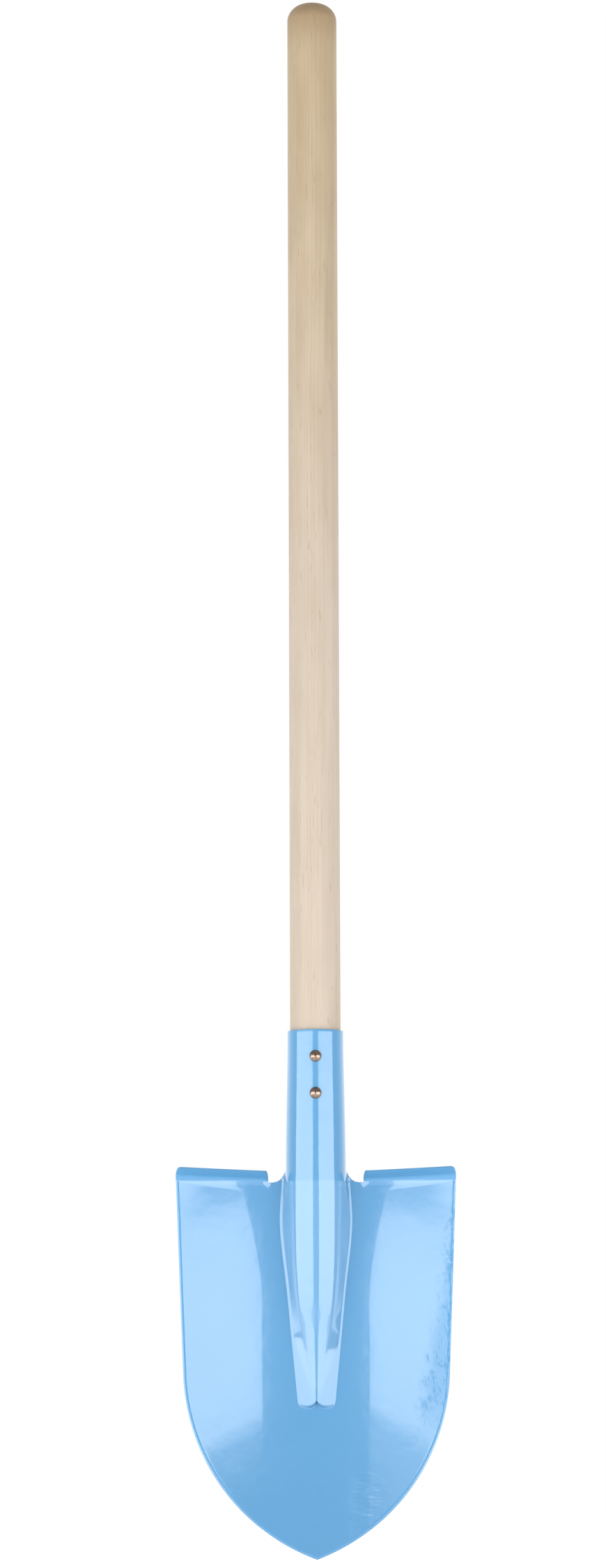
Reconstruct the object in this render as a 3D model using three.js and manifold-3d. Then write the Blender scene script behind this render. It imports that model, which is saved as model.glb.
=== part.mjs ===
// A child's digging spade. The blade, its foot treads, its raised frog and its rolled socket are one
// pressed steel sheet. A turned wooden shaft sits in the socket, and two copper rivets pin it there.
// Millimetres, +Z up, front of the blade towards -Y. The origin is on the shaft's axis, level with
// the blade's point.
import * as THREE from "three";
import { mergeVertices } from "three/addons/utils/BufferGeometryUtils.js";
import Module from "manifold-3d";

const wasm = await Module();
wasm.setup();

// Shaft
const TOTAL_LENGTH = 800; // blade point to shaft end
const SHAFT_DIAMETER = 25.5;
const SHAFT_END_ROUND = 9.2; // length of the rounded end
const SHAFT_END_FLAT = 6; // diameter of the flat left on the end by the lathe
const FOOT_TAPER_LENGTH = 34; // the shaft's foot narrows over this length
const FOOT_NARROWING = 4; // on the shaft's diameter, at its foot
const FOOT_CHAMFER = 2;
const FOOT_HEIGHT = 4; // shaft foot above the tread fold

// Sheet and socket
const SHEET = 1.3;
const SOCKET_CLEARANCE = 0.35; // all round the shaft at the rim
const SOCKET_LENGTH = 76; // tread fold to socket rim
const SEAM_GAP = 1.6; // between the rolled edges at the back
const SEAM_BELOW_RIVET = 4; // the seam stays closed this far below the lower rivet
const NECK_SWELL = 1; // how much the neck's radius grows over the rim's

// Blade
const BLADE_LENGTH = 188; // point to tread fold
const BLADE_WIDTH = 140.4; // at the tread fold
const SIDE_TAPER = 3.9; // each straight side comes in by this much down to the shoulder
const SHOULDER_HEIGHT = 91.5; // where the sides run into the arcs of the point
const DISH_DEPTH = 10; // how far the sides stand forward of the middle
const DISH_DEPTH_AT_TREADS = 8.4;
const DISH_EASE = 60; // length below the treads over which the dish deepens
const BLADE_LIFT = THREE.MathUtils.degToRad(2.5); // the blade leans forward from the shaft's line
const POINT_CURL = 13; // how far the point curls forward of the lifted plane
const CURL_HEIGHT = 120; // the curl starts this far above the point

// Treads, the top edges of the blade turned forward for the foot
const TREAD_BEND_RADIUS = 2.5;
const TREAD_ANGLE = THREE.MathUtils.degToRad(58);
const TREAD_FLAT = 4.4;
const TREAD_RISE = 1.8; // outer end of the fold above its inner end
const TREAD_RISE_EASE = 40; // length below the fold over which the rise fades
const TREAD_CORNER = 3;
const NOTCH_WIDTH = 2.2; // relief between the tread's end and the neck's fillet
const NECK_FILLET_HEIGHT = 8;
const NECK_FILLET_FOOT = 4.3; // flat blade between the frog's root and the notch

// Frog, the raised rib that carries the socket's form down into the blade
const FROG_LENGTH = 113.5; // tread fold to the tips of its toes
const FROG_ARCH = THREE.MathUtils.degToRad(84); // half angle of the arch at the tread fold
const FROG_ROOT_FILLET = 2;
const FROG_FLANK = 1.2; // straight flank at the tread fold
const FROG_BELLY = 0.9; // how much wider each side is at the belly than at the fold
const FROG_BELLY_DROP = 22; // belly below the fold
const FROG_WAIST_HALF_WIDTH = 14.75;
const FROG_WAIST_DROP = 57;
const FROG_TAIL_HALF_WIDTH = 9.2;
const FROG_TAIL_HEIGHT = 2.8;
const FROG_TAIL_CREST = 4; // crest radius at the tail
const FROG_CREST_HOLD = 1.9; // power that keeps the crest broad until near the tail
const TOE_RUN_OUT = 2.6; // slope from the crest down to the blade
const TOE_CLEFT = 3; // depth of the cleft between the two toes

// Rivets
const RIVET_SHANK_DIAMETER = 3.2;
const RIVET_HEAD_DIAMETER = 6;
const RIVET_HEAD_HEIGHT = 1.9;
const RIVET_TAIL_DIAMETER = 5.6;
const RIVET_TAIL_HEIGHT = 1.1;
const RIVET_CLEARANCE = 0.3; // round the shank and under both heads
const UPPER_RIVET_DROP = 13.5; // below the socket rim
const RIVET_PITCH = 18.6;

// Fineness of the faceted surfaces: columns across half the sheet, rows up it, sides round a turned piece
const ARCH_COLUMNS = 12;
const ROOT_COLUMNS = 4;
const WING_COLUMNS = 7;
const POINT_ROWS = 7;
const TOE_ROWS = 7;
const FROG_ROWS = 12;
const FILLET_ROWS = 5;
const NECK_ROWS = 8;
const SOCKET_ROWS = 3;
const TREAD_ROWS = 6;
const OUTLINE_STEPS = 28;
const SHAFT_SIDES = 48;
const SHAFT_END_STEPS = 8;
const RIVET_SIDES = 24;
const RIVET_DOME_STEPS = 6;

// Working allowances
const TRIM_MARGIN = 4; // sheet left outside the blade's outline before it is trimmed
const LEAST_FLANK_REACH = 0.01; // keeps the frog's crest and root arcs from meeting

const steel = new THREE.MeshStandardMaterial({ color: 0x6fadde, roughness: 0.22, metalness: 0 });
const wood = new THREE.MeshStandardMaterial({ color: 0xd8c3a0, roughness: 0.6, metalness: 0 });
const copper = new THREE.MeshStandardMaterial({ color: 0xb87a56, roughness: 0.3, metalness: 1 });

const { lerp, smoothstep, clamp } = THREE.MathUtils;

// Sizes that follow from the ones above
const shaftRadius = SHAFT_DIAMETER / 2;
const rimRadius = shaftRadius + SOCKET_CLEARANCE + SHEET;
const neckRadius = rimRadius + NECK_SWELL;
const rimHeight = BLADE_LENGTH + SOCKET_LENGTH;
const rivetHeights = [rimHeight - UPPER_RIVET_DROP, rimHeight - UPPER_RIVET_DROP - RIVET_PITCH];
const seamFoot = rivetHeights[1] - SEAM_BELOW_RIVET;
const filletTop = BLADE_LENGTH + NECK_FILLET_HEIGHT;
const toeHeight = BLADE_LENGTH - FROG_LENGTH;
const bladeHalf = BLADE_WIDTH / 2;

// The frog's section at the tread fold is the socket's own arch, with its root filleted into the blade
const foldReach = neckRadius + FROG_ROOT_FILLET;
const foldHalfWidth = foldReach * Math.sin(FROG_ARCH) + FROG_FLANK * Math.cos(FROG_ARCH);
const foldHeight = foldReach * (1 - Math.cos(FROG_ARCH)) + FROG_FLANK * Math.sin(FROG_ARCH);
const bladePlane = neckRadius - foldHeight; // blade in front of the shaft's axis at the fold
const archEdge = neckRadius * Math.sin(FROG_ARCH);
const neckEdge = foldHalfWidth + NECK_FILLET_FOOT;
const treadStart = neckEdge + NOTCH_WIDTH;

// Outer radius of the neck and socket: the neck's swell fades out up the socket
function socketRadius(z) {
  return rimRadius + NECK_SWELL * (1 - smoothstep(z, filletTop, rimHeight));
}

// Blade surface in front of the shaft's axis on the centre line, without the frog
function bladeLine(z) {
  const curl = Math.max(0, 1 - z / CURL_HEIGHT);
  return bladePlane + (BLADE_LENGTH - z) * Math.tan(BLADE_LIFT) + POINT_CURL * curl * curl;
}

function dish(x, z) {
  const depth = lerp(DISH_DEPTH_AT_TREADS, DISH_DEPTH, smoothstep(BLADE_LENGTH - z, 0, DISH_EASE));
  return depth * (x / bladeHalf) ** 2;
}

// Half width of the frog's root from the fold, over the belly and the waist, to the tail
const rootLine = new THREE.CubicInterpolant(
  [0, FROG_BELLY_DROP, FROG_WAIST_DROP, FROG_LENGTH],
  [foldHalfWidth, foldHalfWidth + FROG_BELLY, FROG_WAIST_HALF_WIDTH, FROG_TAIL_HALF_WIDTH],
  1,
);

// Half section of the frog at a height: a crest arc, a straight flank and a root fillet, all tangent
function frogSection(z) {
  const drop = clamp(BLADE_LENGTH - z, 0, FROG_LENGTH);
  const share = drop / FROG_LENGTH;
  const [halfWidth] = rootLine.evaluate(drop);
  const height = lerp(foldHeight, FROG_TAIL_HEIGHT, share);
  const eased = (1 + Math.cos(Math.PI * share ** FROG_CREST_HOLD)) / 2;
  const wanted = lerp(FROG_TAIL_CREST, neckRadius, eased) + FROG_ROOT_FILLET;
  const touching = (halfWidth ** 2 + height ** 2) / (2 * height);
  const reach = Math.min(wanted, touching - LEAST_FLANK_REACH);
  const flank = Math.sqrt(halfWidth ** 2 + height ** 2 - 2 * height * reach);
  const angle = Math.atan2(height - reach, halfWidth) + Math.atan2(reach, flank);
  return { halfWidth, height, angle, flank, crest: reach - FROG_ROOT_FILLET };
}

// Lengths along a half section at which its arc, its flank and its fillet end
function sectionEnds({ crest, angle, flank }) {
  const arc = crest * angle;
  return { arc, flank: arc + flank, root: arc + flank + FROG_ROOT_FILLET * angle };
}

// The point at a length along a half section: [distance from the centre line, height over the blade]
function sectionPoint(section, length) {
  const { halfWidth, height, angle, crest } = section;
  const ends = sectionEnds(section);
  if (length <= ends.arc) {
    const turn = length / crest;
    return [crest * Math.sin(turn), height - crest * (1 - Math.cos(turn))];
  }
  if (length <= ends.flank) {
    const run = length - ends.arc;
    const x = crest * Math.sin(angle) + run * Math.cos(angle);
    return [x, height - crest * (1 - Math.cos(angle)) - run * Math.sin(angle)];
  }
  if (length <= ends.root) {
    const left = angle - (length - ends.flank) / FROG_ROOT_FILLET;
    return [halfWidth - FROG_ROOT_FILLET * Math.sin(left), FROG_ROOT_FILLET * (1 - Math.cos(left))];
  }
  return [halfWidth + length - ends.root, 0];
}

// Length along a half section at which it reaches a distance from the centre line
function lengthAt(section, reach) {
  let low = 0;
  let high = sectionEnds(section).root + reach;
  for (let k = 0; k < 50; k++) {
    const middle = (low + high) / 2;
    if (sectionPoint(section, middle)[0] < reach) low = middle;
    else high = middle;
  }
  return low;
}

// The frog dies into the blade in two round toes with a cleft between them
function toeShare(x, z) {
  const middle = FROG_TAIL_HALF_WIDTH / 2;
  const toeLine = toeHeight + TOE_CLEFT * ((Math.abs(x) - middle) / middle) ** 4;
  return smoothstep(z, toeLine, toeLine + TOE_RUN_OUT);
}

// Columns of the sheet from the centre line outwards, by what they cross
const columns = [];
for (let k = 0; k <= ARCH_COLUMNS; k++) columns.push({ zone: "arch", share: k / ARCH_COLUMNS });
for (let k = 1; k <= ROOT_COLUMNS; k++) columns.push({ zone: "root", share: k / ROOT_COLUMNS });
columns.push({ zone: "neck edge" });
const neckColumn = columns.length - 1;
const treadColumn = columns.length;
for (let k = 0; k <= WING_COLUMNS; k++) columns.push({ zone: "wing", share: k / WING_COLUMNS });
const lastColumn = columns.length - 1;

// Length along the section at which a column crosses it
function columnLength({ zone, share }, section) {
  const ends = sectionEnds(section);
  if (zone === "arch") return ends.arc * share;
  if (zone === "root") return lerp(ends.arc, ends.root, share);
  const neck = ends.root + NECK_FILLET_FOOT;
  if (zone === "neck edge") return neck;
  const tread = neck + NOTCH_WIDTH;
  return lerp(tread, ends.root + bladeHalf + TRIM_MARGIN - section.halfWidth, share);
}

function foldRise(x) {
  return (TREAD_RISE * Math.max(0, x - treadStart)) / (bladeHalf - treadStart);
}

function bladePoint(column, z) {
  const section = frogSection(z);
  const [x, height] = sectionPoint(section, columnLength(column, section));
  const lifted = foldRise(x) * smoothstep(z, BLADE_LENGTH - TREAD_RISE_EASE, BLADE_LENGTH);
  const forward = bladeLine(z) + dish(x, z) + height * toeShare(x, z);
  return new THREE.Vector3(x, -forward, z + lifted);
}

// Tread: the fold turns forward through its bend and runs on flat
function treadPoint(column, share) {
  const root = bladePoint(column, BLADE_LENGTH);
  const bend = TREAD_BEND_RADIUS * TREAD_ANGLE;
  const length = share * (bend + TREAD_FLAT);
  const turn = Math.min(length, bend) / TREAD_BEND_RADIUS;
  const flat = Math.max(0, length - bend);
  root.y -= TREAD_BEND_RADIUS * (1 - Math.cos(turn)) + flat * Math.sin(turn);
  root.z += TREAD_BEND_RADIUS * Math.sin(turn) + flat * Math.cos(turn);
  return root;
}

// Where the neck's section is cut off: first by the fillet of the notch, then by the seam's edge
const foldSection = frogSection(BLADE_LENGTH);
const seamAngle = Math.PI - Math.asin(SEAM_GAP / 2 / rimRadius);

function neckEnd(z) {
  if (z >= filletTop) {
    return neckRadius * lerp(foldSection.angle, seamAngle, smoothstep(z, filletTop, seamFoot));
  }
  const sag = (filletTop - z) / NECK_FILLET_HEIGHT;
  return lengthAt(foldSection, neckEdge - (neckEdge - archEdge) * Math.sqrt(1 - sag ** 2));
}

// Neck and socket: the section of the fold rolls round into a tube
function neckPoint(columnIndex, z) {
  const end = neckEnd(z);
  const atFold = columnLength(columns[columnIndex], foldSection) / neckEnd(BLADE_LENGTH);
  const length = end * lerp(atFold, columnIndex / neckColumn, smoothstep(z, BLADE_LENGTH, seamFoot));
  if (z >= filletTop || length <= sectionEnds(foldSection).arc) {
    const radius = socketRadius(z);
    const turn = length / neckRadius;
    return new THREE.Vector3(radius * Math.sin(turn), -radius * Math.cos(turn), z);
  }
  const [x, height] = sectionPoint(foldSection, length);
  return new THREE.Vector3(x, -(bladePlane + dish(x, BLADE_LENGTH) + height), z);
}

// Even steps after the first value, up to and including the last
const spread = (from, to, steps) =>
  Array.from({ length: steps }, (_, k) => lerp(from, to, (k + 1) / steps));

const toeTop = toeHeight + TOE_CLEFT + TOE_RUN_OUT;
const bladeRows = [
  -TRIM_MARGIN,
  ...spread(-TRIM_MARGIN, toeHeight, POINT_ROWS),
  ...spread(toeHeight, toeTop, TOE_ROWS),
  ...spread(toeTop, BLADE_LENGTH, FROG_ROWS),
];
const neckRows = [
  ...spread(BLADE_LENGTH, filletTop, FILLET_ROWS),
  ...spread(filletTop, seamFoot, NECK_ROWS),
  ...spread(seamFoot, rimHeight, SOCKET_ROWS),
];
const treadRows = spread(0, 1, TREAD_ROWS);
const foldRow = bladeRows.length - 1;

// The sheet's front face as a grid: row and column to point, on the right half
function sheetPoint(columnIndex, row) {
  if (row <= foldRow) return bladePoint(columns[columnIndex], bladeRows[row]);
  if (columnIndex <= neckColumn) return neckPoint(columnIndex, neckRows[row - foldRow - 1]);
  return treadPoint(columns[columnIndex], treadRows[row - foldRow - 1]);
}

// Which cells of the grid hold metal: everything below the fold, and above it the neck and the treads
function hasMetal(columnIndex, row) {
  if (row < foldRow) return true;
  const above = row - foldRow;
  if (columnIndex < neckColumn) return above < neckRows.length;
  return columnIndex >= treadColumn && above < treadRows.length;
}

// Closed sheet: the front face, a back face set one thickness behind it, and walls round every free edge
function sheetGeometry() {
  const positions = [];
  const vertexOf = new Map();
  const faces = [];
  const vertex = (column, row) => {
    const key = `${column},${row}`;
    if (!vertexOf.has(key)) {
      const point = sheetPoint(Math.abs(column), row);
      vertexOf.set(key, positions.length / 3);
      positions.push(Math.sign(column) * point.x, point.y, point.z);
    }
    return vertexOf.get(key);
  };
  const lastRow = foldRow + neckRows.length;
  for (let row = 0; row < lastRow; row++) {
    for (let column = -lastColumn; column < lastColumn; column++) {
      if (!hasMetal(column < 0 ? -column - 1 : column, row)) continue;
      const [a, b] = [vertex(column, row), vertex(column + 1, row)];
      const [d, c] = [vertex(column, row + 1), vertex(column + 1, row + 1)];
      if (column < 0) faces.push([a, b, c], [a, c, d]);
      else faces.push([a, b, d], [b, c, d]);
    }
  }
  const front = new THREE.BufferGeometry();
  front.setAttribute("position", new THREE.Float32BufferAttribute(positions, 3));
  front.setIndex(faces.flat());
  front.computeVertexNormals();
  const normals = front.getAttribute("normal").array;
  const count = positions.length / 3;
  const back = positions.map((value, k) => value - SHEET * normals[k]);
  const edges = new Map();
  for (const [a, b, c] of faces) {
    for (const [from, to] of [[a, b], [b, c], [c, a]]) {
      if (!edges.delete(`${to},${from}`)) edges.set(`${from},${to}`, [from, to]);
    }
  }
  const walls = [...edges.values()].flatMap(([from, to]) => [
    [to, from, from + count],
    [to, from + count, to + count],
  ]);
  const behind = faces.map(([a, b, c]) => [a + count, c + count, b + count]);
  const closed = new THREE.BufferGeometry();
  closed.setAttribute("position", new THREE.Float32BufferAttribute([...positions, ...back], 3));
  closed.setIndex([...faces, ...behind, ...walls].flat());
  return closed;
}

// Outline of the blade seen from the front, open above the treads for the neck
function bladeOutline() {
  const side = new THREE.Vector2(SIDE_TAPER, BLADE_LENGTH - SHOULDER_HEIGHT).normalize();
  const inward = new THREE.Vector2(-side.y, side.x);
  const shoulder = new THREE.Vector2(bladeHalf - SIDE_TAPER, SHOULDER_HEIGHT);
  const radius = -shoulder.lengthSq() / (2 * shoulder.dot(inward));
  const centre = shoulder.clone().addScaledVector(inward, radius);
  const pointAngle = Math.atan2(-centre.y, -centre.x);
  const shoulderAngle = Math.atan2(-inward.y, -inward.x);

  const bend = TREAD_BEND_RADIUS * Math.sin(TREAD_ANGLE) + TREAD_FLAT * Math.cos(TREAD_ANGLE);
  const top = BLADE_LENGTH + TREAD_RISE + bend;
  const sideAt = (z) => bladeHalf + ((z - BLADE_LENGTH) * side.x) / side.y;
  const cornerX = sideAt(top) - TREAD_CORNER;
  const open = rimHeight + TRIM_MARGIN;

  const outline = new THREE.Shape();
  outline.moveTo(0, 0);
  outline.absarc(centre.x, centre.y, radius, pointAngle, shoulderAngle, false);
  outline.lineTo(sideAt(top - TREAD_CORNER), top - TREAD_CORNER);
  outline.absarc(cornerX, top - TREAD_CORNER, TREAD_CORNER, 0, Math.PI / 2, false);
  outline.lineTo(cornerX, open);
  outline.lineTo(-cornerX, open);
  outline.absarc(-cornerX, top - TREAD_CORNER, TREAD_CORNER, Math.PI / 2, Math.PI, false);
  outline.lineTo(-sideAt(top - TREAD_CORNER), top - TREAD_CORNER);
  outline.absarc(-centre.x, centre.y, radius, Math.PI - shoulderAngle, Math.PI - pointAngle, false);
  return outline;
}

function solidOf(geometry) {
  const bare = geometry.clone();
  bare.deleteAttribute("normal");
  bare.deleteAttribute("uv");
  const merged = mergeVertices(bare, 1e-5);
  return new wasm.Manifold(
    new wasm.Mesh({
      numProp: 3,
      vertProperties: merged.getAttribute("position").array,
      triVerts: new Uint32Array(merged.index.array),
    }),
  );
}

function geometryOf(solid) {
  const { vertProperties, triVerts } = solid.getMesh();
  const geometry = new THREE.BufferGeometry();
  geometry.setAttribute("position", new THREE.BufferAttribute(vertProperties, 3));
  geometry.setIndex(new THREE.BufferAttribute(triVerts, 1));
  geometry.computeVertexNormals();
  return geometry;
}

// Holes for both rivets, drilled from front to back through whatever they meet
function drilled(solid) {
  const radius = RIVET_SHANK_DIAMETER / 2 + RIVET_CLEARANCE;
  const length = 4 * neckRadius;
  return rivetHeights.reduce((left, z) => {
    const drill = new THREE.CylinderGeometry(radius, radius, length, RIVET_SIDES).translate(0, 0, z);
    return left.subtract(solidOf(drill));
  }, solid);
}

function bladeGeometry() {
  const depth = 4 * (neckRadius + BLADE_LENGTH * Math.tan(BLADE_LIFT) + DISH_DEPTH);
  const cutter = new THREE.ExtrudeGeometry(bladeOutline(), {
    depth,
    bevelEnabled: false,
    curveSegments: OUTLINE_STEPS,
  });
  cutter.translate(0, 0, -depth / 2).rotateX(Math.PI / 2);
  return geometryOf(drilled(solidOf(sheetGeometry()).intersect(solidOf(cutter))));
}

// Turned shaft: a chamfered, tapered foot, a straight run and an elliptical rounded end with a small flat
function shaftGeometry() {
  const foot = BLADE_LENGTH + FOOT_HEIGHT;
  const footRadius = (SHAFT_DIAMETER - FOOT_NARROWING) / 2;
  const flatAngle = Math.acos(SHAFT_END_FLAT / SHAFT_DIAMETER);
  const crown = SHAFT_END_ROUND / Math.sin(flatAngle);
  const roundStart = TOTAL_LENGTH - SHAFT_END_ROUND;
  const profile = [
    [0, foot],
    [footRadius - FOOT_CHAMFER, foot],
    [footRadius, foot + FOOT_CHAMFER],
    [shaftRadius, foot + FOOT_TAPER_LENGTH],
    [shaftRadius, roundStart],
    ...spread(0, flatAngle, SHAFT_END_STEPS).map((turn) => [
      shaftRadius * Math.cos(turn),
      roundStart + crown * Math.sin(turn),
    ]),
    [0, TOTAL_LENGTH],
  ];
  const turned = new THREE.LatheGeometry(profile.map(([r, z]) => new THREE.Vector2(r, z)), SHAFT_SIDES);
  return geometryOf(drilled(solidOf(turned.rotateX(Math.PI / 2))));
}

// Rivet on its own axis, head at the front: a domed head, the shank, and a flatter peened tail
function rivetGeometry(seat) {
  const shank = RIVET_SHANK_DIAMETER / 2;
  const under = seat + RIVET_CLEARANCE;
  const dome = (diameter, height, side) =>
    spread(0, Math.PI / 2, RIVET_DOME_STEPS).map((turn) => [
      (diameter / 2) * Math.cos(turn),
      side * (under + height * Math.sin(turn)),
    ]);
  const head = [[RIVET_HEAD_DIAMETER / 2, under], ...dome(RIVET_HEAD_DIAMETER, RIVET_HEAD_HEIGHT, 1)];
  const tail = [[RIVET_TAIL_DIAMETER / 2, -under], ...dome(RIVET_TAIL_DIAMETER, RIVET_TAIL_HEIGHT, -1)];
  const profile = [...tail.reverse(), [shank, -under], [shank, under], ...head];
  const turned = new THREE.LatheGeometry(profile.map(([r, y]) => new THREE.Vector2(r, y)), RIVET_SIDES);
  return turned.rotateX(Math.PI);
}

const spade = new THREE.Group();

const blade = new THREE.Mesh(bladeGeometry(), steel);
blade.name = "blade";
spade.add(blade);

const shaft = new THREE.Mesh(shaftGeometry(), wood);
shaft.name = "shaft";
spade.add(shaft);

["upper_rivet", "lower_rivet"].forEach((name, k) => {
  const rivet = new THREE.Mesh(rivetGeometry(socketRadius(rivetHeights[k])), copper);
  rivet.name = name;
  rivet.position.z = rivetHeights[k];
  spade.add(rivet);
});

export default spade;
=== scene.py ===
# %% [markdown]
# # A child's digging spade
#
# A light blue pressed steel blade on a straight wooden shaft, held by two copper rivets, photographed
# from the front and a little from below on a white ground.
#
# The lesson loads the engineering model of the spade. It then builds every visible piece again, more
# finely, by the same rules, gives each one its material, and sets up the studio. All sizes are in
# millimetres until a piece is finished, and in metres in the scene.

# %% Frame
import math

import bpy
from mathutils import Matrix, Vector


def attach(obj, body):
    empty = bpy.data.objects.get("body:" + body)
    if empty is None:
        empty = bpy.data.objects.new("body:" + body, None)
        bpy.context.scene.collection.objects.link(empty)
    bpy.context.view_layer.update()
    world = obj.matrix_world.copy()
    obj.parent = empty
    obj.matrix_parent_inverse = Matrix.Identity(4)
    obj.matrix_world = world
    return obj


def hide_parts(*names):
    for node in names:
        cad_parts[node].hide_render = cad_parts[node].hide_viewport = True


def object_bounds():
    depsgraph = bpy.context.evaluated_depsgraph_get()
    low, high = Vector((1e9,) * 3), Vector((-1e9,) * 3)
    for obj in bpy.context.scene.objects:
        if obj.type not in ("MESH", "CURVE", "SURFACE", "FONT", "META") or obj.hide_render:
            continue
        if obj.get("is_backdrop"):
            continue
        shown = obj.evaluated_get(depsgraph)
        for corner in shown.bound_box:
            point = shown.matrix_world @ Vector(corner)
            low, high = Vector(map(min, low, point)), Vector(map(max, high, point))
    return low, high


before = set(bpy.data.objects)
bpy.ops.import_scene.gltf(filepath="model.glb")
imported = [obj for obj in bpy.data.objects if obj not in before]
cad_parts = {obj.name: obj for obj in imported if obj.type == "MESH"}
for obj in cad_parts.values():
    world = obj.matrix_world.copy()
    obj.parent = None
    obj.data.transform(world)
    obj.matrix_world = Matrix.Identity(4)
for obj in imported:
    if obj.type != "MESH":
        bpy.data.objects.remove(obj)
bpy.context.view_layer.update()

# %% [markdown]
# ## Arithmetic with node sockets
#
# A forming rule or a wood grain is a formula. In a node tree each sign of the formula is a Math node,
# and wiring a hundred of them by hand hides the formula. A small class that wraps a socket lets the
# rule be written as ordinary arithmetic, and the same functions work on plain numbers too.

# %% Sockets in expressions
class Value:
    """A socket of a node tree that can stand in a Python expression."""

    def __init__(self, tree, socket=None):
        self.tree = tree
        self.socket = socket

    def node(self, kind, settings=None, inputs=None, output=0):
        """Add a node: its settings first, then the values or links of its sockets."""
        node = self.tree.nodes.new(kind)
        for name, setting in (settings or {}).items():
            setattr(node, name, setting)
        for name, given in (inputs or {}).items():
            if isinstance(given, Value):
                self.tree.links.new(given.socket, node.inputs[name])
            elif isinstance(given, list):
                for link in given:
                    self.tree.links.new(link.socket, node.inputs[name])
            else:
                node.inputs[name].default_value = given
        return Value(self.tree, node.outputs[output] if len(node.outputs) else None)

    def other(self, output):
        """Another output of the same node."""
        return Value(self.tree, self.socket.node.outputs[output])

    def math(self, operation, *terms):
        """A Math node on its terms, each a value or a number."""
        return self.node("ShaderNodeMath", {"operation": operation}, dict(enumerate(terms)))

    def __add__(self, term):
        return self.math("ADD", self, term)

    def __sub__(self, term):
        return self.math("SUBTRACT", self, term)

    def __rsub__(self, term):
        return self.math("SUBTRACT", term, self)

    def __mul__(self, term):
        return self.math("MULTIPLY", self, term)

    def __truediv__(self, term):
        return self.math("DIVIDE", self, term)

    def __rtruediv__(self, term):
        return self.math("DIVIDE", term, self)

    def __pow__(self, term):
        return self.math("POWER", self, term)

    def __neg__(self):
        return self.math("MULTIPLY", self, -1.0)

    __radd__ = __add__
    __rmul__ = __mul__


def sin(angle):
    return angle.math("SINE", angle)


def cos(angle):
    return angle.math("COSINE", angle)


def root(value):
    return value.math("SQRT", value)


def angle_of(rise, run):
    return rise.math("ARCTAN2", rise, run)


def least(value, limit):
    return value.math("MINIMUM", value, limit)


def most(value, limit):
    return value.math("MAXIMUM", value, limit)


def ramp(value, low, high):
    """0 below low, 1 above high, straight between."""
    return value.node("ShaderNodeMapRange", None, {"Value": value, "From Min": low, "From Max": high})


def smooth(value, low, high):
    """0 below low, 1 above high, an S between."""
    ends = {"Value": value, "From Min": low, "From Max": high}
    return value.node("ShaderNodeMapRange", {"interpolation_type": "SMOOTHSTEP"}, ends)


def mix(share, start, end):
    """start where share is 0, end where it is 1."""
    return start + (end - start) * share


def vector(x, y, z):
    return x.node("ShaderNodeCombineXYZ", None, {"X": x, "Y": y, "Z": z})


def blend(share, start, end):
    """A colour between two colours."""
    return share.node("ShaderNodeMix", {"data_type": "RGBA"}, {0: share, 6: start, 7: end}, 2)


def noise(place, scale, detail=2.0, roughness=0.5):
    """Smooth noise from 0 to 1 at a place."""
    inputs = {"Vector": place, "Scale": scale, "Detail": detail, "Roughness": roughness}
    return place.node("ShaderNodeTexNoise", None, inputs)


print("signs that values know:", sorted(name for name in vars(Value) if name.startswith("__r")))

# %% [markdown]
# ## Finishes
#
# Paint, wood and copper each get a material whose colour, roughness and normal follow the piece's own
# coordinates. Pictures wrapped round the pieces could do the same, but they need unwrapping and they
# blur from near by, while a rule is sharp at any distance. A few helpers keep the materials short.

# %% Material helpers
def material(name):
    """A new material, its shader, and a value in its tree to start from."""
    made = bpy.data.materials.new(name)
    made.use_nodes = True
    return made, made.node_tree.nodes["Principled BSDF"], Value(made.node_tree)


def feed(shader, **inputs):
    """Values or numbers for the shader's sockets, named with underscores for spaces."""
    for name, given in inputs.items():
        socket = shader.inputs[name.replace("_", " ")]
        if isinstance(given, Value):
            given.tree.links.new(given.socket, socket)
        else:
            socket.default_value = given


def object_place(start):
    """The piece's own coordinates in millimetres."""
    metres = start.node("ShaderNodeTexCoord", None, None, "Object")
    return start.node("ShaderNodeVectorMath", {"operation": "SCALE"}, {0: metres, "Scale": 1000.0})


def stretched(place, x, y, z):
    """A place with each axis multiplied by its own number."""
    return place.node("ShaderNodeVectorMath", {"operation": "MULTIPLY"}, {0: place, 1: (x, y, z)})


def bumped(height, distance):
    """A normal for a height that is counted in a distance in metres."""
    return height.node("ShaderNodeBump", None, {"Height": height, "Distance": distance})


def axes(place):
    """The X, Y and Z of a place."""
    across = place.node("ShaderNodeSeparateXYZ", None, {"Vector": place})
    return across, across.other("Y"), across.other("Z")


print("materials so far:", len(bpy.data.materials))

# %% [markdown]
# ## Blue enamel
#
# The blade is dipped or sprayed with a light blue gloss enamel. The colour is even. What shows is the
# gloss. Wet enamel draws into a fine orange peel as it dries, it has run along one edge, and it has
# sagged a little low on the blade. These ripples could be raised in the mesh, but they are finer than
# its faces, so they are a bump in the pigment. A clear coat over the pigment gives the crisp
# reflections. It is thin where the enamel has run, and the treads have none.

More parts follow.
